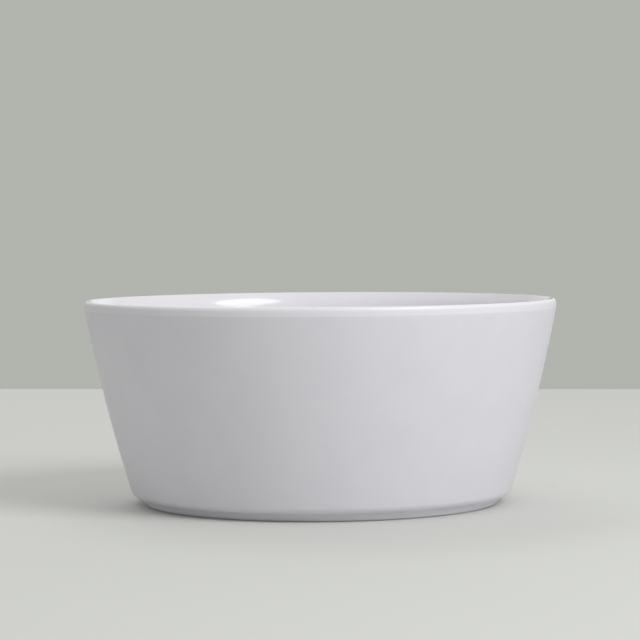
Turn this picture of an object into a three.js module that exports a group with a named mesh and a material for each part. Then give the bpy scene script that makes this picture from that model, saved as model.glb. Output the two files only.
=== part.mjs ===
// Chip and dip server: a wide chip bowl, and a dip cup that stands in a locating ring on its floor.
// Millimetres, +Z up. The origin is the centre of the bowl's foot ring, on the surface it rests on.
import * as THREE from 'three';

// ---- Driving dimensions ----------------------------------------------------------------------

// Both vessels are the same kind of moulding: a tapered, slightly bowed wall with a rolled lip, a
// rounded bottom corner and a foot ring. Every value below can be set by itself.
const BOWL = {
  rimRadius: 125, // outside of the lip
  baseRadius: 100.2, // outside of the wall, where it would meet the foot's top plane
  height: 108, // resting plane to the top of the lip
  wall: 4.3, // wall thickness
  floor: 3.6, // floor thickness
  wallBow: 1.3, // how far the wall bulges out from a straight taper
  cornerRadius: 5.3, // outside bottom corner
  innerCornerRadius: 12, // where the floor sweeps up into the wall
  lipBand: 4.8, // height of the upright band at the lip
  lipOuterWidth: 1.5, // round-over on the outside of the lip
  lipOuterHeight: 2.8,
  lipInnerHeight: 2.6, // round-over on the inside of the lip
  flareHeight: 4.6, // the top of the inner wall, which leans out more and more
  flareRadius: 15,
  footHeight: 4.1,
  footWidth: 5.4, // width of the foot ring's resting face and its two edges
  footStep: 1.1, // how far the foot stands in from the end of the corner
  footDraft: 0.8, // how much each side of the foot leans
  footInnerEdge: 0.8, // rounding of the foot's lower edges
  footOuterEdge: 2.1,
  segments: 64, // flats around the lathe
};

const CUP = {
  rimRadius: 60,
  baseRadius: 46,
  height: 62,
  wall: 3.2,
  floor: 2.6,
  wallBow: 0.7,
  cornerRadius: 4,
  innerCornerRadius: 9,
  lipBand: 3.8,
  lipOuterWidth: 1.2,
  lipOuterHeight: 2.2,
  lipInnerHeight: 2,
  flareHeight: 3.2,
  flareRadius: 12,
  footHeight: 3,
  footWidth: 3.6,
  footStep: 0.9,
  footDraft: 0.5,
  footInnerEdge: 0.6,
  footOuterEdge: 1.2,
  segments: 52,
};

const RIB_WIDTH = 2.8; // the locating ring moulded on the bowl's floor
const RIB_CLEARANCE = 0.6; // from the ring's inner edge to the widest level of the cup's foot
const RIB_HEADROOM = 1.2; // from the ring's top to the underside of a cup that is down on the floor
const SEAT_GAP = 0.2; // between the bowl's floor and the cup's resting face

// Steps along the round stretches of a profile.
const STEPS = { wall: 6, corner: 5, innerCorner: 6, lip: 5, flare: 4, edge: 3, rib: 4 };

const SAME_POINT = 1e-4;
const QUARTER = Math.PI / 2;

// ---- Profile construction --------------------------------------------------------------------

/** Points along part of an ellipse, turning from one angle to the other. */
function curvePoints(centre, radiusX, radiusY, from, to, steps) {
  const clockwise = to < from;
  const curve = new THREE.EllipseCurve(centre.x, centre.y, radiusX, radiusY, from, to, clockwise, 0);
  return curve.getPoints(steps);
}

/** Joins stretches of a profile into one list of points, leaving out repeated ones. */
function joinStretches(...stretches) {
  const points = [];
  for (const point of stretches.flat()) {
    const last = points.at(-1);
    if (!last || last.distanceTo(point) > SAME_POINT) {
      points.push(point);
    }
  }
  return points;
}

/** The circle that the outside of a wall follows, through its base and the foot of its lip band. */
function wallCircle(size) {
  const base = new THREE.Vector2(size.baseRadius, size.footHeight);
  const top = new THREE.Vector2(size.rimRadius, size.height - size.lipBand);
  const chord = top.clone().sub(base);
  const length = chord.length();
  const radius = (length ** 2 / 4 + size.wallBow ** 2) / (2 * size.wallBow);
  const towardsAxis = new THREE.Vector2(-chord.y, chord.x).divideScalar(length);
  const middle = base.clone().add(top).multiplyScalar(0.5);
  const centre = middle.addScaledVector(towardsAxis, radius - size.wallBow);
  return { centre, radius, top };
}

/** The fillet that runs tangent to the inside of a circle and to the level line at planeZ. */
function levelFillet(circleCentre, circleRadius, filletRadius, planeZ) {
  const y = planeZ + filletRadius;
  const reach = circleRadius - filletRadius;
  const x = circleCentre.x + Math.sqrt(reach ** 2 - (y - circleCentre.y) ** 2);
  const centre = new THREE.Vector2(x, y);
  const tangentAngle = centre.clone().sub(circleCentre).angle();
  return { centre, tangentAngle: signedAngle(tangentAngle) };
}

/** An angle brought into the range from minus to plus half a turn. */
function signedAngle(angle) {
  return angle > Math.PI ? angle - 2 * Math.PI : angle;
}

/** The main circles, fillets and levels of a vessel, worked out from its sizes. */
function vesselShape(size) {
  const outer = wallCircle(size);
  const outerCorner = levelFillet(outer.centre, outer.radius, size.cornerRadius, size.footHeight);
  const floorZ = size.footHeight + size.floor;
  const innerRadius = outer.radius - size.wall;
  const innerCorner = levelFillet(outer.centre, innerRadius, size.innerCornerRadius, floorZ);
  const footTopRadius = outerCorner.centre.x - size.footStep;
  return { outer, outerCorner, innerRadius, innerCorner, floorZ, footTopRadius };
}

/** The underside, from the axis out over the foot ring to the end of the corner. */
function footStretch(size, shape) {
  const outside = shape.footTopRadius - size.footDraft;
  const inside = outside - size.footWidth;
  const innerEdge = size.footInnerEdge;
  const outerEdge = size.footOuterEdge;
  const innerCentre = new THREE.Vector2(inside + innerEdge, innerEdge);
  const outerCentre = new THREE.Vector2(outside - outerEdge, outerEdge);
  return joinStretches(
    [new THREE.Vector2(0, size.footHeight)],
    [new THREE.Vector2(inside - size.footDraft, size.footHeight)],
    curvePoints(innerCentre, innerEdge, innerEdge, Math.PI, 3 * QUARTER, STEPS.edge),
    curvePoints(outerCentre, outerEdge, outerEdge, -QUARTER, 0, STEPS.edge),
    [new THREE.Vector2(shape.footTopRadius, size.footHeight)],
  );
}

/** The bottom corner, the bowed wall and the outside of the lip. */
function outsideStretch(size, shape) {
  const { outer, outerCorner } = shape;
  const corner = size.cornerRadius;
  const start = outerCorner.tangentAngle;
  const end = signedAngle(outer.top.clone().sub(outer.centre).angle());
  const lipRadius = size.rimRadius - size.lipOuterWidth;
  const lipCentre = new THREE.Vector2(lipRadius, size.height - size.lipOuterHeight);
  return joinStretches(
    curvePoints(outerCorner.centre, corner, corner, -QUARTER, start, STEPS.corner),
    curvePoints(outer.centre, outer.radius, outer.radius, start, end, STEPS.wall),
    curvePoints(lipCentre, size.lipOuterWidth, size.lipOuterHeight, 0, QUARTER, STEPS.lip),
  );
}

/** The flare at the top of the inner wall: its circle, and the angles where it ends. */
function lipFlare(size, shape) {
  const { centre } = shape.outer;
  const top = size.height - size.lipInnerHeight;
  const wallAngle = Math.asin((top - size.flareHeight - centre.y) / shape.innerRadius);
  const direction = new THREE.Vector2(Math.cos(wallAngle), Math.sin(wallAngle));
  const flareCentre = centre.clone().addScaledVector(direction, shape.innerRadius + size.flareRadius);
  const topAngle = Math.PI - Math.asin((top - flareCentre.y) / size.flareRadius);
  return { centre: flareCentre, topAngle, wallAngle };
}

/** The inside of the lip, the inner wall and the sweep down to the floor. */
function insideStretch(size, shape) {
  const { centre } = shape.outer;
  const radius = shape.innerRadius;
  const corner = size.innerCornerRadius;
  const flare = lipFlare(size, shape);
  const flareEnd = Math.PI + flare.wallAngle;
  const flarePoints = curvePoints(
    flare.centre, size.flareRadius, size.flareRadius, flare.topAngle, flareEnd, STEPS.flare);
  const lean = -Math.tan(flare.topAngle);
  const crown = new THREE.Vector2(size.rimRadius - size.lipOuterWidth, size.height);
  const shoulder = new THREE.Vector2(flarePoints[0].x + lean * size.lipInnerHeight, size.height);
  const cornerStart = shape.innerCorner.tangentAngle;
  return joinStretches(
    new THREE.QuadraticBezierCurve(crown, shoulder, flarePoints[0]).getPoints(STEPS.lip),
    flarePoints,
    curvePoints(centre, radius, radius, flare.wallAngle, cornerStart, STEPS.wall),
    curvePoints(shape.innerCorner.centre, corner, corner, cornerStart, -QUARTER, STEPS.innerCorner),
  );
}

/** The half-round locating ring on a floor, met from the outside. */
function ribStretch(floorZ, innerRadius, ribHeight) {
  const halfWidth = RIB_WIDTH / 2;
  const centre = new THREE.Vector2(innerRadius + halfWidth, floorZ);
  return curvePoints(centre, halfWidth, ribHeight, 0, Math.PI, STEPS.rib);
}

/** Turns a profile about the vertical axis into a closed body. */
function turnedBody(profile, segments) {
  const geometry = new THREE.LatheGeometry(profile, segments);
  geometry.rotateX(QUARTER);
  return geometry;
}

// ---- Pieces ----------------------------------------------------------------------------------

/** The chip bowl, with the ring on its floor that keeps the cup in the middle. */
function chipBowl() {
  const shape = vesselShape(BOWL);
  const ribRadius = vesselShape(CUP).footTopRadius + RIB_CLEARANCE;
  const ribHeight = CUP.footHeight - RIB_HEADROOM;
  const profile = joinStretches(
    footStretch(BOWL, shape),
    outsideStretch(BOWL, shape),
    insideStretch(BOWL, shape),
    ribStretch(shape.floorZ, ribRadius, ribHeight),
    [new THREE.Vector2(0, shape.floorZ)],
  );
  const material = new THREE.MeshStandardMaterial({ color: 0xe4e3e8, roughness: 0.55, metalness: 0 });
  const mesh = new THREE.Mesh(turnedBody(profile, BOWL.segments), material);
  mesh.name = 'chip_bowl';
  return mesh;
}

/** The dip cup, standing on the bowl's floor inside the locating ring. */
function dipCup() {
  const shape = vesselShape(CUP);
  const profile = joinStretches(
    footStretch(CUP, shape),
    outsideStretch(CUP, shape),
    insideStretch(CUP, shape),
    [new THREE.Vector2(0, shape.floorZ)],
  );
  const material = new THREE.MeshStandardMaterial({ color: 0xe7e6ea, roughness: 0.45, metalness: 0 });
  const mesh = new THREE.Mesh(turnedBody(profile, CUP.segments), material);
  mesh.name = 'dip_cup';
  mesh.position.z = vesselShape(BOWL).floorZ + SEAT_GAP;
  return mesh;
}

const group = new THREE.Group();
group.add(chipBowl(), dipCup());

export default group;
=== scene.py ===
"""A chip and dip server: a flared melamine bowl with a lift-out dip cup, in a plain studio."""

import logging
import math
from dataclasses import dataclass
from enum import Enum

import bmesh
import bpy
from mathutils import Matrix, Vector


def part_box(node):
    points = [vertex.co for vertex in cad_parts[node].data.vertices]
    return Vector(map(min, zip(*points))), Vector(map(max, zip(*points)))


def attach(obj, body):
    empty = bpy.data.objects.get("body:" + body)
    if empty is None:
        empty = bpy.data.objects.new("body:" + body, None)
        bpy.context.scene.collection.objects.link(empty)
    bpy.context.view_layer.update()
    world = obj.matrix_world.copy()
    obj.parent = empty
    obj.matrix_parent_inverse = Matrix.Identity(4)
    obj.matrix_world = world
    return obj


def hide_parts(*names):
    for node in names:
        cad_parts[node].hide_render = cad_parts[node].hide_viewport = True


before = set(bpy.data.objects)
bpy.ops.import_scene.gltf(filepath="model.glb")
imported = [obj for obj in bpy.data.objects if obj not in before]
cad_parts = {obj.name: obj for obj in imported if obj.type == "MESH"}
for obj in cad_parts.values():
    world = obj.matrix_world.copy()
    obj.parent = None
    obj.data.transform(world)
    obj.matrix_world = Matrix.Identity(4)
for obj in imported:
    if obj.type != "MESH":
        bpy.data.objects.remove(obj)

logging.basicConfig(level=logging.INFO, format="%(name)s: %(message)s")
LOG = logging.getLogger("server")

MM = 0.001  # one millimetre, in metres
QUARTER = math.pi / 2
LIP_STEPS = 16
SAME_POINT = 0.01 * MM  # points closer than this are one point
BAND_END = 0.28 * QUARTER  # where the band's skin ends on the outside of the lip
CROWN_START = 0.34 * QUARTER  # where the crown's skin begins
RING_DRIFT = 0.003  # how far the rings of use are offset in the noise, in metres, round a turn
FLECK_SCALE = 110.0  # cells to a metre
FLECK_RARITY = 0.985  # the share of cells that hold no fleck

Point = tuple[float, float]
Colour = tuple[float, float, float]


# ---- Profiles --------------------------------------------------------------------------------


class Skin(Enum):
    """What a stretch of a moulded profile looks and feels like."""

    MATTE = "matte"
    BAND = "band"
    CROWN = "crown"
    SATIN = "satin"
    FOOT = "foot"

    @property
    def polish(self) -> float:
        """How far the skin is from matte, at 0, to satin, at 1."""
        return {Skin.BAND: 0.1, Skin.CROWN: 0.35, Skin.SATIN: 1.0}.get(self, 0.0)

    @property
    def painted_light_share(self) -> float:
        """How much painted light the skin carries: from the outer colour, at 0, to the paler colour that
        stands in for brighter light, at 1.
        """
        # painted light: the band is painted partly paler for the light from above, and the crown (a painted
        # highlight) and the inside fully paler
        return {Skin.BAND: 0.45, Skin.CROWN: 1.0, Skin.SATIN: 1.0}.get(self, 0.0)


@dataclass(frozen=True)
class ProfilePoint:
    """One point of a turned profile: its radius, its height and the skin it carries."""

    radius: float
    height: float
    skin: Skin

    def gap_to(self, other: "ProfilePoint") -> float:
        """The distance to another point."""
        return math.hypot(other.radius - self.radius, other.height - self.height)


@dataclass(frozen=True)
class Fillet:
    """A round corner, by its centre and the angle where it meets the wall."""

    centre: Point
    angle: float


@dataclass(frozen=True)
class VesselSizes:
    """The sizes of one footed, tapered vessel, in metres, above its own resting plane."""

    rim_radius: float
    base_radius: float
    height: float
    wall: float
    floor: float
    wall_bow: float
    corner_radius: float
    inner_corner_radius: float
    lip_band: float
    lip_outer_width: float
    lip_outer_height: float
    lip_inner_height: float
    flare_height: float
    flare_radius: float
    foot_height: float
    foot_width: float
    foot_step: float
    foot_draft: float
    foot_inner_edge: float
    foot_outer_edge: float
    foot_fillet: float


@dataclass(frozen=True)
class Rib:
    """A half-round locating ring on a vessel's floor."""

    inner_radius: float
    width: float
    height: float


def arc(
    centre: Point, radii: Point, start: float, end: float, steps: int, skin: Skin
) -> list[ProfilePoint]:
    """Points along part of an ellipse.

    Args:
        centre: Its centre, as radius and height.
        radii: Its half width and half height.
        start: The first angle, in radians.
        end: The last angle.
        steps: How many steps to take between them.
        skin: The skin of every point.

    Returns:
        The points in order, both ends included.
    """
    points = []
    for step in range(steps + 1):
        angle = start + (end - start) * step / steps
        radius = centre[0] + radii[0] * math.cos(angle)
        height = centre[1] + radii[1] * math.sin(angle)
        points.append(ProfilePoint(radius, height, skin))
    return points


def line(start: Point, end: Point, steps: int, skin: Skin) -> list[ProfilePoint]:
    """Evenly spaced points along a straight stretch.

    Args:
        start: The first point, as radius and height.
        end: The last point.
        steps: How many steps to take between them.
        skin: The skin of every point.

    Returns:
        The points in order, both ends included.
    """
    points = []
    for step in range(steps + 1):
        share = step / steps
        radius = start[0] + (end[0] - start[0]) * share
        height = start[1] + (end[1] - start[1]) * share
        points.append(ProfilePoint(radius, height, skin))
    return points


class VesselProfile:
    """Works out the closed outline that a vessel is turned from."""

    def __init__(self, sizes: VesselSizes, rib: Rib | None = None) -> None:
        """Finds the wall's circle and the corners that the outline needs.

        Args:
            sizes: The vessel's sizes.
            rib: The locating ring on its floor, if it has one.
        """
        self.sizes = sizes
        self.rib = rib
        self.wall_centre, self.wall_radius = self._wall_circle()
        self.inner_radius = self.wall_radius - sizes.wall
        self.floor_height = sizes.foot_height + sizes.floor
        self.corner = self._level_fillet(self.wall_radius, sizes.corner_radius, sizes.foot_height)
        self.inner_corner = self._level_fillet(
            self.inner_radius, sizes.inner_corner_radius, self.floor_height)
        self.foot_top_radius = self.corner.centre[0] - sizes.foot_step

    def _wall_circle(self) -> tuple[Point, float]:
        """The circle that the outside of the wall follows: its centre and radius."""
        s = self.sizes
        base = Vector((s.base_radius, s.foot_height))
        top = Vector((s.rim_radius, s.height - s.lip_band))
        chord = top - base
        radius = (chord.length_squared / 4 + s.wall_bow**2) / (2 * s.wall_bow)
        towards_axis = Vector((-chord.y, chord.x)).normalized()
        centre = (base + top) / 2 + towards_axis * (radius - s.wall_bow)
        return (centre.x, centre.y), radius

    def _level_fillet(self, circle_radius: float, fillet_radius: float, height: float) -> Fillet:
        """Finds the corner that is tangent to the wall and to a level plane.

        Args:
            circle_radius: The radius of that face of the wall.
            fillet_radius: The corner's own radius.
            height: The height of the level plane.

        Returns:
            The corner.
        """
        centre_height = height + fillet_radius
        rise = centre_height - self.wall_centre[1]
        run = math.sqrt((circle_radius - fillet_radius) ** 2 - rise**2)
        return Fillet((self.wall_centre[0] + run, centre_height), math.atan2(rise, run))

    def _underside(self) -> list[ProfilePoint]:
        """The recess, the foot ring and the ledge out to the bottom corner."""
        s = self.sizes
        outside = self.foot_top_radius - s.foot_draft
        inside = outside - s.foot_width
        inside_top = inside - s.foot_draft
        fillet = (s.foot_fillet, s.foot_fillet)
        root = s.foot_height - s.foot_fillet
        inner_radii = (s.foot_inner_edge, s.foot_inner_edge)
        outer_radii = (s.foot_outer_edge, s.foot_outer_edge)
        inner_edge = (inside + s.foot_inner_edge, s.foot_inner_edge)
        outer_edge = (outside - s.foot_outer_edge, s.foot_outer_edge)
        return [
            *line((0, s.foot_height), (inside_top - s.foot_fillet, s.foot_height), 24, Skin.MATTE),
            *arc((inside_top - s.foot_fillet, root), fillet, QUARTER, 0, 6, Skin.MATTE),
            *arc(inner_edge, inner_radii, math.pi, 3 * QUARTER, 8, Skin.FOOT),
            *line((inner_edge[0], 0), (outer_edge[0], 0), 4, Skin.FOOT),
            *arc(outer_edge, outer_radii, -QUARTER, 0, 12, Skin.MATTE),
            *arc((self.foot_top_radius + s.foot_fillet, root), fillet, math.pi, QUARTER, 6, Skin.MATTE),
        ]

    def _outside(self) -> list[ProfilePoint]:
        """The bottom corner, the bowed wall, the upright band and the outside of the lip."""
        s = self.sizes
        corner = (s.corner_radius, s.corner_radius)
        wall = (self.wall_radius, self.wall_radius)
        top_rise = s.height - s.lip_band - self.wall_centre[1]
        top_angle = math.atan2(top_rise, s.rim_radius - self.wall_centre[0])
        lip_centre = (s.rim_radius - s.lip_outer_width, s.height - s.lip_outer_height)
        lip = (s.lip_outer_width, s.lip_outer_height)
        return [
            *arc(self.corner.centre, corner, -QUARTER, self.corner.angle, 18, Skin.MATTE),
            *arc(self.wall_centre, wall, self.corner.angle, top_angle, 56, Skin.MATTE),
            *line((s.rim_radius, s.height - s.lip_band), (s.rim_radius, lip_centre[1]), 4, Skin.BAND),
            *arc(lip_centre, lip, 0, BAND_END, 8, Skin.BAND),
            *arc(lip_centre, lip, CROWN_START, QUARTER, 12, Skin.CROWN),
        ]

    def _lip_crown(self, flare_top: Point, lean: float) -> list[ProfilePoint]:
        """The round-over from the lip's crown down to the flare, as a quadratic curve.

        Args:
            flare_top: The top of the flare.
            lean: How much the flare leans out there, as run over rise.

        Returns:
            The points in order, both ends included.
        """
        s = self.sizes
        crown = Vector((s.rim_radius - s.lip_outer_width, s.height))
        shoulder = Vector((flare_top[0] + lean * s.lip_inner_height, s.height))
        points = []
        for step in range(LIP_STEPS + 1):
            share = step / LIP_STEPS
            first = crown.lerp(shoulder, share)
            second = shoulder.lerp(Vector(flare_top), share)
            place = first.lerp(second, share)
            points.append(ProfilePoint(place.x, place.y, Skin.SATIN))
        return points

    def _inside(self) -> list[ProfilePoint]:
        """The inside of the lip, the flare, the inner wall and the sweep down to the floor."""
        s = self.sizes
        top = s.height - s.lip_inner_height
        wall_angle = math.asin((top - s.flare_height - self.wall_centre[1]) / self.inner_radius)
        reach = self.inner_radius + s.flare_radius
        flare_x = self.wall_centre[0] + reach * math.cos(wall_angle)
        flare_z = self.wall_centre[1] + reach * math.sin(wall_angle)
        top_angle = math.pi - math.asin((top - flare_z) / s.flare_radius)
        flare_top = (flare_x + s.flare_radius * math.cos(top_angle), top)
        flare = (s.flare_radius, s.flare_radius)
        wall = (self.inner_radius, self.inner_radius)
        corner = (s.inner_corner_radius, s.inner_corner_radius)
        corner_angle = self.inner_corner.angle
        return [
            *self._lip_crown(flare_top, -math.tan(top_angle)),
            *arc((flare_x, flare_z), flare, top_angle, math.pi + wall_angle, 12, Skin.SATIN),
            *arc(self.wall_centre, wall, wall_angle, corner_angle, 48, Skin.SATIN),
            *arc(self.inner_corner.centre, corner, corner_angle, -QUARTER, 22, Skin.SATIN),
        ]

    def _floor(self) -> list[ProfilePoint]:
        """The floor, with its locating ring if there is one, in to the axis."""
        edge = self.inner_corner.centre[0]
        height = self.floor_height
        if self.rib is None:
            return line((edge, height), (0, height), 16, Skin.SATIN)
        middle = self.rib.inner_radius + self.rib.width / 2
        radii = (self.rib.width / 2, self.rib.height)
        return [
            *line((edge, height), (middle + radii[0], height), 16, Skin.SATIN),
            *arc((middle, height), radii, 0, math.pi, 14, Skin.SATIN),
            *line((middle - radii[0], height), (0, height), 14, Skin.SATIN),
        ]

    def points(self) -> list[ProfilePoint]:
        """The whole outline, from the axis under the foot round to the axis on the floor.

        Returns:
            The points, with repeated ones left out.
        """
        kept: list[ProfilePoint] = []
        outline = [*self._underside(), *self._outside(), *self._inside(), *self._floor()]
        for point in outline:
            last = kept[-1] if kept else None
            if last is None or last.gap_to(point) > SAME_POINT:
                kept.append(point)
        return kept


# ---- Node helpers ----------------------------------------------------------------------------


class NodeBench:
    """Adds nodes to a tree and wires them, laying them out from left to right."""

    def __init__(self, tree: bpy.types.NodeTree) -> None:
        """Takes the tree to work on.

        Args:
            tree: A shader or geometry node tree.
        """
        self.tree = tree
        self.column = 0

    def add(self, kind: str, settings: dict | None = None, **inputs: object) -> bpy.types.Node:
        """Adds a node.

        Args:
            kind: The node's type name.
            settings: Values for the node's own properties.
            **inputs: A value or an output socket for each named input, with spaces as underscores.

        Returns:
            The node.
        """
        node = self.tree.nodes.new(kind)
        self.column += 1
        node.location = (self.column * 180, -(self.column % 5) * 160)
        for name, value in (settings or {}).items():
            setattr(node, name, value)
        for name, value in inputs.items():
            self.feed(node.inputs[name.replace("_", " ")], value)
        return node

    def feed(self, socket: bpy.types.NodeSocket, value: object) -> None:
        """Links an output to an input socket, or sets the input's value."""
        if isinstance(value, bpy.types.NodeSocket):
            self.tree.links.new(value, socket)
        else:
            socket.default_value = value

    def math(self, operation: str, *values: object) -> bpy.types.NodeSocket:
        """Adds a Math node.

        Args:
            operation: The node's operation.
            *values: Its inputs in order, numbers or sockets.

        Returns:
            The node's output.
        """
        node = self.add("ShaderNodeMath", {"operation": operation})
        for socket, value in zip(node.inputs, values):
            self.feed(socket, value)
        return node.outputs[0]

    def remap(
        self, value: object, low: float, high: float, to_low: float, to_high: float
    ) -> bpy.types.NodeSocket:
        """Adds a smooth Map Range node.

        Args:
            value: The number or socket to remap.
            low: The start of the range it comes in.
            high: The end of that range.
            to_low: What low becomes.
            to_high: What high becomes.

        Returns:
            The node's output.
        """
        node = self.add("ShaderNodeMapRange", {"interpolation_type": "SMOOTHSTEP"})
        for socket, number in zip(node.inputs, (value, low, high, to_low, to_high)):
            self.feed(socket, number)
        return node.outputs["Result"]

    def mix(self, factor: object, first: object, second: object) -> bpy.types.NodeSocket:
        """Adds a colour Mix node.

        Args:
            factor: How much of the second colour shows.
            first: The first colour or socket.
            second: The second colour or socket.

        Returns:
            The mixed colour.
        """
        node = self.add("ShaderNodeMix", {"data_type": "RGBA"})
        self.feed(node.inputs[0], factor)
        self.feed(node.inputs[6], first)
        self.feed(node.inputs[7], second)
        return node.outputs[2]


def opaque(colour: Colour) -> tuple[float, float, float, float]:
    """A colour with full alpha."""
    return (*colour, 1.0)


# ---- Turning -----------------------------------------------------------------------------------


class TurningTree:
    """A geometry node tree that turns a profile about the vertical axis."""

    NAME = "turn_profile"
    SATIN = "satin"
    # painted light: the attribute holding each point's share of the paler colour on the band, the crown and
    # the inside
    PAINTED_LIGHT = "painted_light_mask"
    FOOT = "foot_face"
    UV = "UVMap"

    def __init__(self) -> None:
        """Builds the tree."""
        self.tree = bpy.data.node_groups.new(self.NAME, "GeometryNodeTree")
        self._make_interface()
        self._wire()

    def _make_interface(self) -> None:
        """Gives the tree its named inputs and its output."""
        face = self.tree.interface
        face.new_socket("Profile", in_out="INPUT", socket_type="NodeSocketGeometry")
        segments = face.new_socket("Segments", in_out="INPUT", socket_type="NodeSocketInt")
        segments.default_value = 96
        weld = face.new_socket("Weld Distance", in_out="INPUT", socket_type="NodeSocketFloat")
        weld.default_value = 0.002 * MM
        face.new_socket("Material", in_out="INPUT", socket_type="NodeSocketMaterial")
        face.new_socket("Body", in_out="OUTPUT", socket_type="NodeSocketGeometry")

    def _sampled(self, bench: NodeBench, profile: object, index: object, name: str) -> bpy.types.NodeSocket:
        """Reads one of the profile's values at each point of the turned grid.

        Args:
            bench: The bench of this tree.
            profile: The profile's geometry socket.
            index: The socket that gives the profile point's index.
            name: The attribute's name.

        Returns:
            The value read.
        """
        value = bench.add("GeometryNodeInputNamedAttribute", {"data_type": "FLOAT"}, Name=name)
        sample = bench.add("GeometryNodeSampleIndex", {"data_type": "FLOAT", "domain": "POINT"})
        bench.feed(sample.inputs["Geometry"], profile)
        bench.feed(sample.inputs["Value"], value.outputs["Attribute"])
        bench.feed(sample.inputs["Index"], index)
        return sample.outputs[0]

    def _wire(self) -> None:
        """Turns a grid of points into the body, closes its seam and poles and names its material."""
        bench = NodeBench(self.tree)
        given = bench.add("NodeGroupInput").outputs
        profile = given["Profile"]
        count = bench.add("GeometryNodeAttributeDomainSize", {"component": "MESH"}, Geometry=profile)
        rows = count.outputs["Point Count"]
        columns = bench.math("ADD", given["Segments"], 1)
        grid = bench.add("GeometryNodeMeshGrid", Vertices_X=columns, Vertices_Y=rows)
        index = bench.add("GeometryNodeInputIndex").outputs[0]
        row = bench.math("MODULO", index, rows)
        column = bench.math("FLOOR", bench.math("DIVIDE", bench.math("ADD", index, 0.5), rows))
        angle = bench.math("DIVIDE", bench.math("MULTIPLY", column, 2 * math.pi), given["Segments"])
        place = bench.add("GeometryNodeInputPosition").outputs[0]
        sample = bench.add("GeometryNodeSampleIndex", {"data_type": "FLOAT_VECTOR", "domain": "POINT"})
        bench.feed(sample.inputs["Geometry"], profile)
        bench.feed(sample.inputs["Value"], place)
        bench.feed(sample.inputs["Index"], row)
        parts = bench.add("ShaderNodeSeparateXYZ", Vector=sample.outputs[0])
        x = bench.math("MULTIPLY", parts.outputs["X"], bench.math("COSINE", angle))
        y = bench.math("MULTIPLY", parts.outputs["X"], bench.math("SINE", angle))
        turned = bench.add("ShaderNodeCombineXYZ", X=x, Y=y, Z=parts.outputs["Z"])
        shape = grid.outputs["Mesh"]
        for name in (self.SATIN, self.PAINTED_LIGHT, self.FOOT):
            store = bench.add("GeometryNodeStoreNamedAttribute", {"data_type": "FLOAT", "domain": "POINT"})
            bench.feed(store.inputs["Geometry"], shape)
            bench.feed(store.inputs["Name"], name)
            bench.feed(store.inputs["Value"], self._sampled(bench, profile, row, name))
            shape = store.outputs["Geometry"]
        chart = bench.add("GeometryNodeStoreNamedAttribute", {"data_type": "FLOAT2", "domain": "CORNER"})
        bench.feed(chart.inputs["Geometry"], shape)
        bench.feed(chart.inputs["Name"], self.UV)
        bench.feed(chart.inputs["Value"], grid.outputs["UV Map"])
        moved = bench.add("GeometryNodeSetPosition", Geometry=chart.outputs["Geometry"])
        bench.feed(moved.inputs["Position"], turned.outputs[0])
        weld = bench.add("GeometryNodeMergeByDistance", Geometry=moved.outputs["Geometry"])
        bench.feed(weld.inputs["Distance"], given["Weld Distance"])
        smooth = bench.add("GeometryNodeSetShadeSmooth", Geometry=weld.outputs["Geometry"])
        real = bench.add("GeometryNodeRealizeInstances", Geometry=smooth.outputs["Geometry"])
        dressed = bench.add("GeometryNodeSetMaterial", Geometry=real.outputs["Geometry"])
        bench.feed(dressed.inputs["Material"], given["Material"])
        out = bench.add("NodeGroupOutput")
        bench.feed(out.inputs["Body"], dressed.outputs["Geometry"])

    def _socket(self, name: str) -> str:
        """The identifier of a named input."""
        return next(item.identifier for item in self.tree.interface.items_tree if item.name == name)

    def turn(self, name: str, points: list[ProfilePoint], lift: float, segments: int,
             material: bpy.types.Material) -> bpy.types.Object:
        """Turns a profile into a closed mesh.

        Args:
            name: The finished piece's name.
            points: The profile, from axis to axis.
            lift: How high the profile's resting plane stands.
            segments: How many flats go round.
            material: The piece's material.

        Returns:
            The piece, with its place in its mesh.
        """
        outline = bpy.data.meshes.new(name + "_outline")
        vertices = [(point.radius, 0.0, point.height + lift) for point in points]
        edges = [(index, index + 1) for index in range(len(points) - 1)]
        outline.from_pydata(vertices, edges, [])
        values = {
            self.SATIN: [point.skin.polish for point in points],
            # painted light: each profile point's share of the paler colour
            self.PAINTED_LIGHT: [point.skin.painted_light_share for point in points],
            self.FOOT: [float(point.skin is Skin.FOOT) for point in points],
        }
        for attribute, column in values.items():
            outline.attributes.new(attribute, "FLOAT", "POINT").data.foreach_set("value", column)
        source = bpy.data.objects.new(name + "_source", outline)
        bpy.context.scene.collection.objects.link(source)
        modifier = source.modifiers.new("turning", "NODES")
        modifier.node_group = self.tree
        modifier[self._socket("Segments")] = segments
        modifier[self._socket("Material")] = material
        evaluated = source.evaluated_get(bpy.context.evaluated_depsgraph_get())
        mesh = bpy.data.meshes.new_from_object(evaluated)
        mesh.name = name
        source.modifiers.clear()
        bpy.data.objects.remove(source)
        bpy.data.meshes.remove(outline)
        self._face_outwards(mesh)
        piece = bpy.data.objects.new(name, mesh)
        bpy.context.scene.collection.objects.link(piece)
        return piece

    @staticmethod
    def _face_outwards(mesh: bpy.types.Mesh) -> None:
        """Turns every face of a closed mesh outwards."""
        work = bmesh.new()
        work.from_mesh(mesh)
        bmesh.ops.recalc_face_normals(work, faces=work.faces)
        work.to_mesh(mesh)
        work.free()


# ---- Finishes ----------------------------------------------------------------------------------


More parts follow.
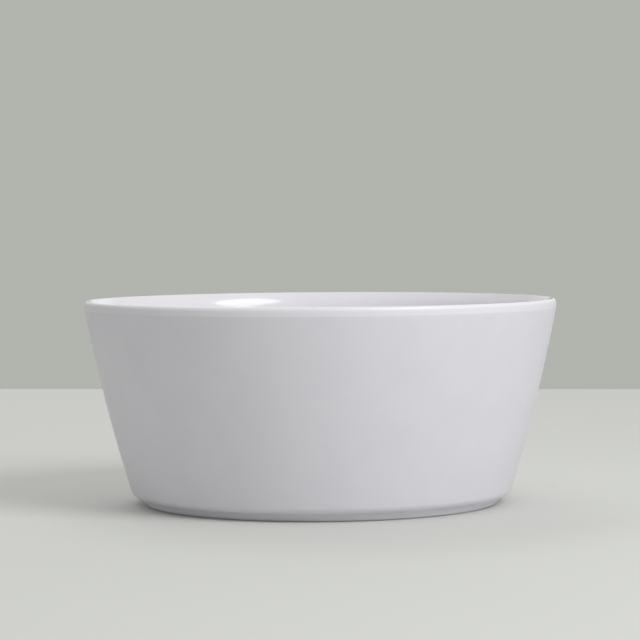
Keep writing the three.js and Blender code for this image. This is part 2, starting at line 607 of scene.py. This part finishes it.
class MouldingGrain:
    """A shader group for the skin that a mould leaves: a soft mottle and a fine texture."""

    def __init__(self) -> None:
        """Builds the group."""
        self.tree = bpy.data.node_groups.new("moulding_grain", "ShaderNodeTree")
        face = self.tree.interface
        for name, value in (("Mottle Scale", 45.0), ("Grain Scale", 2400.0), ("Fleck Amount", 1.0)):
            face.new_socket(name, in_out="INPUT", socket_type="NodeSocketFloat").default_value = value
        for name in ("Mottle", "Grain", "Fleck"):
            face.new_socket(name, in_out="OUTPUT", socket_type="NodeSocketFloat")
        bench = NodeBench(self.tree)
        given = bench.add("NodeGroupInput").outputs
        place = bench.add("ShaderNodeTexCoord").outputs["Object"]
        mottle = bench.add("ShaderNodeTexNoise", Vector=place, Detail=4.0, Roughness=0.55)
        bench.feed(mottle.inputs["Scale"], given["Mottle Scale"])
        grain = bench.add("ShaderNodeTexNoise", Vector=place, Detail=2.0, Roughness=0.5)
        bench.feed(grain.inputs["Scale"], given["Grain Scale"])
        cells = bench.add("ShaderNodeTexVoronoi", Vector=place, Scale=FLECK_SCALE, Randomness=1.0)
        rare = bench.add("ShaderNodeSeparateColor", Color=cells.outputs["Color"])
        chosen = bench.math("GREATER_THAN", rare.outputs[0], FLECK_RARITY)
        core = bench.remap(cells.outputs["Distance"], 0.02, 0.045, 1.0, 0.0)
        fleck = bench.math("MULTIPLY", bench.math("MULTIPLY", chosen, core), given["Fleck Amount"])
        out = bench.add("NodeGroupOutput")
        bench.feed(out.inputs["Mottle"], mottle.outputs[0])
        bench.feed(out.inputs["Grain"], grain.outputs[0])
        bench.feed(out.inputs["Fleck"], fleck)


class ServingWear:
    """A shader group for use: rings left by spoons and cloths, and short fine scratches."""

    def __init__(self) -> None:
        """Builds the group."""
        self.tree = bpy.data.node_groups.new("serving_wear", "ShaderNodeTree")
        face = self.tree.interface
        for name, value in (("Ring Scale", 900.0), ("Scratch Scale", 60.0)):
            face.new_socket(name, in_out="INPUT", socket_type="NodeSocketFloat").default_value = value
        for name in ("Rings", "Scratches"):
            face.new_socket(name, in_out="OUTPUT", socket_type="NodeSocketFloat")
        bench = NodeBench(self.tree)
        given = bench.add("NodeGroupInput").outputs
        place = bench.add("ShaderNodeTexCoord").outputs["Object"]
        parts = bench.add("ShaderNodeSeparateXYZ", Vector=place)
        x, y, z = (parts.outputs[axis] for axis in "XYZ")
        across_squared = bench.math("ADD", bench.math("MULTIPLY", x, x), bench.math("MULTIPLY", y, y))
        across = bench.math("SQRT", across_squared)
        along = bench.math("ADD", across, z)
        east = bench.math("MULTIPLY", bench.math("DIVIDE", x, across), RING_DRIFT)
        north = bench.math("MULTIPLY", bench.math("DIVIDE", y, across), RING_DRIFT)
        polar = bench.add("ShaderNodeCombineXYZ", X=along, Y=east, Z=north)
        rings = bench.add("ShaderNodeTexNoise", Vector=polar.outputs[0], Detail=3.0)
        bench.feed(rings.inputs["Scale"], given["Ring Scale"])
        tilt = bench.add("ShaderNodeMapping", Vector=place, Rotation=(0.4, 0.3, 0.7), Scale=(1.0, 14.0, 1.0))
        marks = bench.add("ShaderNodeTexNoise", Vector=tilt.outputs[0], Detail=5.0)
        bench.feed(marks.inputs["Scale"], given["Scratch Scale"])
        scratches = bench.remap(marks.outputs[0], 0.66, 0.72, 0.0, 1.0)
        out = bench.add("NodeGroupOutput")
        bench.feed(out.inputs["Rings"], rings.outputs[0])
        bench.feed(out.inputs["Scratches"], scratches)


@dataclass(frozen=True)
class Melamine:
    """Moulded melamine: matte outside, satin on the lip and inside, rubbed on the foot; the lip and the
    inside are painted paler, as painted light and a painted highlight on the crown.
    """

    name: str
    colour: Colour = (0.797, 0.784, 0.84)
    cloudy_colour: Colour = (0.782, 0.769, 0.825)
    # painted light: paler than the outer colour, standing in for the brighter light on the inside and the
    # band and for the highlight along the crown
    painted_light_colour: Colour = (0.92, 0.91, 0.95)
    fleck_colour: Colour = (0.25, 0.23, 0.22)
    rubbed_colour: Colour = (0.70, 0.69, 0.72)
    matte_roughness: float = 0.5
    satin_roughness: float = 0.11
    grain_depth: float = 0.012 * MM
    ior: float = 1.5

    def material(self, grain: MouldingGrain, wear: ServingWear) -> bpy.types.Material:
        """Builds the material.

        Args:
            grain: The group for the moulded skin.
            wear: The group for marks of use.

        Returns:
            The material.
        """
        material = bpy.data.materials.new(self.name)
        material.use_nodes = True
        material.node_tree.nodes.clear()
        bench = NodeBench(material.node_tree)
        skin = bench.add("ShaderNodeGroup", {"node_tree": grain.tree}).outputs
        use = bench.add("ShaderNodeGroup", {"node_tree": wear.tree}).outputs
        satin = bench.add("ShaderNodeAttribute", {"attribute_name": TurningTree.SATIN}).outputs["Fac"]
        # painted light: how far each point is mixed toward the paler colour
        painted_light_mask = bench.add("ShaderNodeAttribute", {"attribute_name": TurningTree.PAINTED_LIGHT}).outputs["Fac"]
        foot = bench.add("ShaderNodeAttribute", {"attribute_name": TurningTree.FOOT}).outputs["Fac"]
        cloud = bench.remap(skin["Mottle"], 0.35, 0.65, 0.0, 1.0)
        outer = bench.mix(cloud, opaque(self.colour), opaque(self.cloudy_colour))
        # painted light: the band, the crown and the inside are mixed toward a paler colour where more light
        # falls; on the crown this is a painted highlight
        base = bench.mix(painted_light_mask, outer, opaque(self.painted_light_colour))
        flecked = bench.mix(skin["Fleck"], base, opaque(self.fleck_colour))
        rubbed = bench.math("MULTIPLY", foot, bench.remap(use["Rings"], 0.4, 0.7, 0.3, 1.0))
        colour = bench.mix(rubbed, flecked, opaque(self.rubbed_colour))
        matte = bench.remap(
            skin["Mottle"], 0.3, 0.7, self.matte_roughness - 0.03, self.matte_roughness + 0.04)
        worn = bench.math("MULTIPLY", use["Scratches"], 0.08)
        ringed = bench.remap(
            use["Rings"], 0.3, 0.7, self.satin_roughness - 0.02, self.satin_roughness + 0.03)
        gloss = bench.math("ADD", ringed, worn)
        spread = bench.math("SUBTRACT", gloss, matte)
        roughness = bench.math("MULTIPLY_ADD", spread, satin, matte)
        less = bench.math("MULTIPLY_ADD", satin, -0.75, 1.0)
        height = bench.math("MULTIPLY", skin["Grain"], less)
        bump = bench.add("ShaderNodeBump", Strength=0.5, Distance=self.grain_depth, Height=height)
        shader = bench.add("ShaderNodeBsdfPrincipled", Base_Color=colour, Roughness=roughness, IOR=self.ior)
        bench.feed(shader.inputs["Normal"], bump.outputs[0])
        out = bench.add("ShaderNodeOutputMaterial")
        bench.feed(out.inputs["Surface"], shader.outputs[0])
        return material


@dataclass(frozen=True)
class PaintedBoard:
    """A softly painted board, for the floor that the server stands on."""

    name: str
    colour: Colour
    shade_colour: Colour
    roughness: float

    def material(self) -> bpy.types.Material:
        """Builds the material.

        Returns:
            The material.
        """
        material = bpy.data.materials.new(self.name)
        material.use_nodes = True
        material.node_tree.nodes.clear()
        bench = NodeBench(material.node_tree)
        place = bench.add("ShaderNodeTexCoord").outputs["Object"]
        fine = bench.add("ShaderNodeTexNoise", Vector=place, Scale=900.0, Detail=4.0)
        broad = bench.add("ShaderNodeTexNoise", Vector=place, Scale=6.0, Detail=3.0)
        slow = bench.math("MULTIPLY", broad.outputs[0], 0.65)
        share = bench.math("MULTIPLY_ADD", fine.outputs[0], 0.35, slow)
        colour = bench.mix(share, opaque(self.colour), opaque(self.shade_colour))
        shader = bench.add("ShaderNodeBsdfPrincipled", Base_Color=colour, Roughness=self.roughness)
        out = bench.add("ShaderNodeOutputMaterial")
        bench.feed(out.inputs["Surface"], shader.outputs[0])
        return material


# ---- The server ----------------------------------------------------------------------------------


@dataclass
class Vessel:
    """A turned vessel that stands for one CAD node."""

    node: str
    body: str
    slot: str
    segments: int
    seat: float
    profile: VesselProfile

    def build(self, turning: TurningTree, material: bpy.types.Material) -> bpy.types.Object:
        """Makes the vessel and ties it to its CAD node and body.

        Args:
            turning: The tree that turns profiles.
            material: The vessel's material.

        Returns:
            The finished piece.
        """
        name = self.node + "_moulding"
        piece = turning.turn(name, self.profile.points(), self.seat, self.segments, material)
        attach(piece, self.body)
        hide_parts(self.node)
        faces = len(piece.data.polygons)
        LOG.info("%s: %d faces, seat at %.4f m, rides on %s", name, faces, self.seat, self.body)
        return piece


@dataclass(frozen=True)
class Server:
    """The chip bowl and the dip cup that stands in it."""

    bowl_node: str = "chip_bowl"
    cup_node: str = "dip_cup"
    rib_clearance: float = 0.6 * MM
    rib_width: float = 2.8 * MM
    rib_headroom: float = 1.2 * MM

    def cup_sizes(self) -> VesselSizes:
        """The dip cup's sizes, its overall ones read from the frame."""
        low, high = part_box(self.cup_node)
        return VesselSizes(
            rim_radius=high.x, base_radius=46 * MM, height=high.z - low.z, wall=3.2 * MM, floor=2.6 * MM,
            wall_bow=0.7 * MM, corner_radius=4 * MM, inner_corner_radius=9 * MM, lip_band=3.8 * MM,
            lip_outer_width=1.2 * MM, lip_outer_height=2.2 * MM, lip_inner_height=2 * MM,
            flare_height=3.2 * MM, flare_radius=12 * MM, foot_height=3 * MM, foot_width=3.6 * MM,
            foot_step=0.9 * MM, foot_draft=0.5 * MM, foot_inner_edge=0.6 * MM,
            foot_outer_edge=1.2 * MM, foot_fillet=0.5 * MM,
        )

    def bowl_sizes(self) -> VesselSizes:
        """The chip bowl's sizes, its overall ones read from the frame."""
        low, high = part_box(self.bowl_node)
        return VesselSizes(
            rim_radius=high.x, base_radius=100.2 * MM, height=high.z - low.z, wall=4.3 * MM, floor=3.6 * MM,
            wall_bow=1.3 * MM, corner_radius=5.3 * MM, inner_corner_radius=12 * MM, lip_band=4.8 * MM,
            lip_outer_width=1.5 * MM, lip_outer_height=2.8 * MM, lip_inner_height=2.6 * MM,
            flare_height=4.6 * MM, flare_radius=15 * MM, foot_height=4.1 * MM, foot_width=5.4 * MM,
            foot_step=1.1 * MM, foot_draft=0.8 * MM, foot_inner_edge=0.8 * MM,
            foot_outer_edge=2.1 * MM, foot_fillet=0.7 * MM,
        )

    def vessels(self) -> list[Vessel]:
        """Sizes up both vessels.

        Returns:
            The bowl and the cup, ready to build.
        """
        cup = VesselProfile(self.cup_sizes())
        rib_radius = cup.foot_top_radius + self.rib_clearance
        rib = Rib(rib_radius, self.rib_width, cup.sizes.foot_height - self.rib_headroom)
        bowl = VesselProfile(self.bowl_sizes(), rib)
        bowl_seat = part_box(self.bowl_node)[0].z
        cup_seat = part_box(self.cup_node)[0].z
        return [
            Vessel(self.bowl_node, "bowl", "bowl_melamine", 256, bowl_seat, bowl),
            Vessel(self.cup_node, "cup", "cup_melamine", 176, cup_seat, cup),
        ]


# ---- The studio ------------------------------------------------------------------------------------


@dataclass(frozen=True)
class SoftBox:
    """A soft light, rectangular or round, placed about the server and pointed at it."""

    name: str
    azimuth: float  # degrees to the right of the camera's side
    elevation: float  # degrees above the floor
    distance: float
    width: float
    height: float
    power: float
    is_disc: bool = False
    colour: Colour = (1.0, 1.0, 1.0)

    def light(self, target: Vector) -> bpy.types.Object:
        """Makes the light.

        Args:
            target: The point it faces.

        Returns:
            The light.
        """
        data = bpy.data.lights.new(self.name, "AREA")
        data.shape = "ELLIPSE" if self.is_disc else "RECTANGLE"
        data.size = self.width
        data.size_y = self.height
        data.energy = self.power
        data.color = self.colour
        turn, rise = math.radians(self.azimuth), math.radians(self.elevation)
        level = math.cos(rise)
        away = Vector((math.sin(turn) * level, -math.cos(turn) * level, math.sin(rise)))
        lamp = bpy.data.objects.new(self.name, data)
        lamp.visible_camera = False
        lamp.location = target + away * self.distance
        lamp.rotation_mode = "QUATERNION"
        lamp.rotation_quaternion = away.to_track_quat("Z", "Y")
        bpy.context.scene.collection.objects.link(lamp)
        return lamp


@dataclass(frozen=True)
class StudioCamera:
    """The camera, on the server's middle plane, a little above the rim."""

    distance: float = 1.3854
    height: float = 0.1527
    yaw: float = -0.00014  # radians, to the right
    pitch: float = 0.04028  # radians, downwards
    roll: float = -0.00697  # radians
    lens: float = 146.62  # millimetres
    sensor: float = 36.0

    def place(self) -> bpy.types.Object:
        """Makes the camera the scene's own.

        Returns:
            The camera.
        """
        data = bpy.data.cameras.new("studio_camera")
        data.sensor_width = self.sensor
        data.lens = self.lens
        camera = bpy.data.objects.new("studio_camera", data)
        level = Vector((math.cos(self.yaw), -math.sin(self.yaw), 0))
        ahead = Vector((math.sin(self.yaw), math.cos(self.yaw), 0))
        forward = ahead * math.cos(self.pitch) - Vector((0, 0, math.sin(self.pitch)))
        upright = level.cross(forward)
        right = level * math.cos(self.roll) + upright * math.sin(self.roll)
        up = right.cross(forward)
        turn = Matrix((right, up, -forward)).transposed()
        camera.matrix_world = Matrix.Translation((0, -self.distance, self.height)) @ turn.to_4x4()
        bpy.context.scene.collection.objects.link(camera)
        bpy.context.scene.camera = camera
        return camera


@dataclass(frozen=True)
class Studio:
    """The floor, the backdrop, the lights and the camera."""

    back_edge: float = 0.9  # how far behind the server the floor ends
    edge_skew: float = -0.105  # how much that edge leans, as rise over run
    reach: float = 6.0  # how far it goes on the other sides
    backdrop_colour: Colour = (0.445, 0.456, 0.423)
    ambient_colour: Colour = (0.343, 0.34, 0.333)

    def floor(self) -> bpy.types.Object:
        """Lays the floor.

        Returns:
            The floor.
        """
        corners = [
            (-self.reach, -self.reach, 0.0),
            (self.reach, -self.reach, 0.0),
            (self.reach, self.back_edge + self.edge_skew * self.reach, 0.0),
            (-self.reach, self.back_edge - self.edge_skew * self.reach, 0.0),
        ]
        mesh = bpy.data.meshes.new("studio_floor")
        mesh.from_pydata(corners, [], [(0, 1, 2, 3)])
        finish = PaintedBoard("sage_board", (0.727, 0.74, 0.705), (0.712, 0.726, 0.689), 0.85)
        mesh.materials.append(finish.material())
        floor = bpy.data.objects.new("studio_floor", mesh)
        bpy.context.scene.collection.objects.link(floor)
        return floor

    def world(self) -> bpy.types.World:
        """Makes the surroundings: a sage backdrop to the camera and a soft even light to the rest.

        Returns:
            The world.
        """
        world = bpy.data.worlds.new("studio_world")
        world.use_nodes = True
        world.node_tree.nodes.clear()
        bench = NodeBench(world.node_tree)
        seen = bench.add("ShaderNodeLightPath").outputs["Is Camera Ray"]
        colour = bench.mix(seen, opaque(self.ambient_colour), opaque(self.backdrop_colour))
        light = bench.add("ShaderNodeBackground", Color=colour, Strength=1.0)
        out = bench.add("ShaderNodeOutputWorld")
        bench.feed(out.inputs["Surface"], light.outputs[0])
        bpy.context.scene.world = world
        return world

    def lights(self) -> list[bpy.types.Object]:
        """Sets up the soft boxes.

        Returns:
            The lights.
        """
        target = Vector((0.0, 0.0, 0.05))
        boxes = [
            SoftBox("key_dish", 46, 38, 1.8, 1.04, 1.04, 15.4, is_disc=True, colour=(0.985, 0.985, 1.0)),
            SoftBox("low_strip", 46, 11, 1.8, 1.2, 0.3, 1.3),
            SoftBox("top_box", 0, 90, 2.6, 3.0, 3.0, 7.5),
            SoftBox("rear_softbox", -166, 52, 1.8, 0.9, 0.5, 3.0),
            SoftBox("back_left_box", -118, 46, 1.8, 1.7, 1.4, 3.4),
            SoftBox("back_box", 180, 25, 2.2, 2.6, 1.2, 5.5),
        ]
        return [box.light(target) for box in boxes]

    def build(self) -> None:
        """Builds the whole studio."""
        StudioCamera().place()
        self.floor()
        self.world()
        self.lights()
        view = bpy.context.scene.view_settings
        view.view_transform = "Standard"
        LOG.info("studio: floor ends %.3f m behind the server", self.back_edge)


def main() -> None:
    """Builds the server and its studio."""
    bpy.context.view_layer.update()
    Studio().build()
    turning = TurningTree()
    grain = MouldingGrain()
    wear = ServingWear()
    finishes = {slot: Melamine(slot) for slot in ("bowl_melamine", "cup_melamine")}
    for vessel in Server().vessels():
        vessel.build(turning, finishes[vessel.slot].material(grain, wear))


if __name__ == "__main__":
    main()
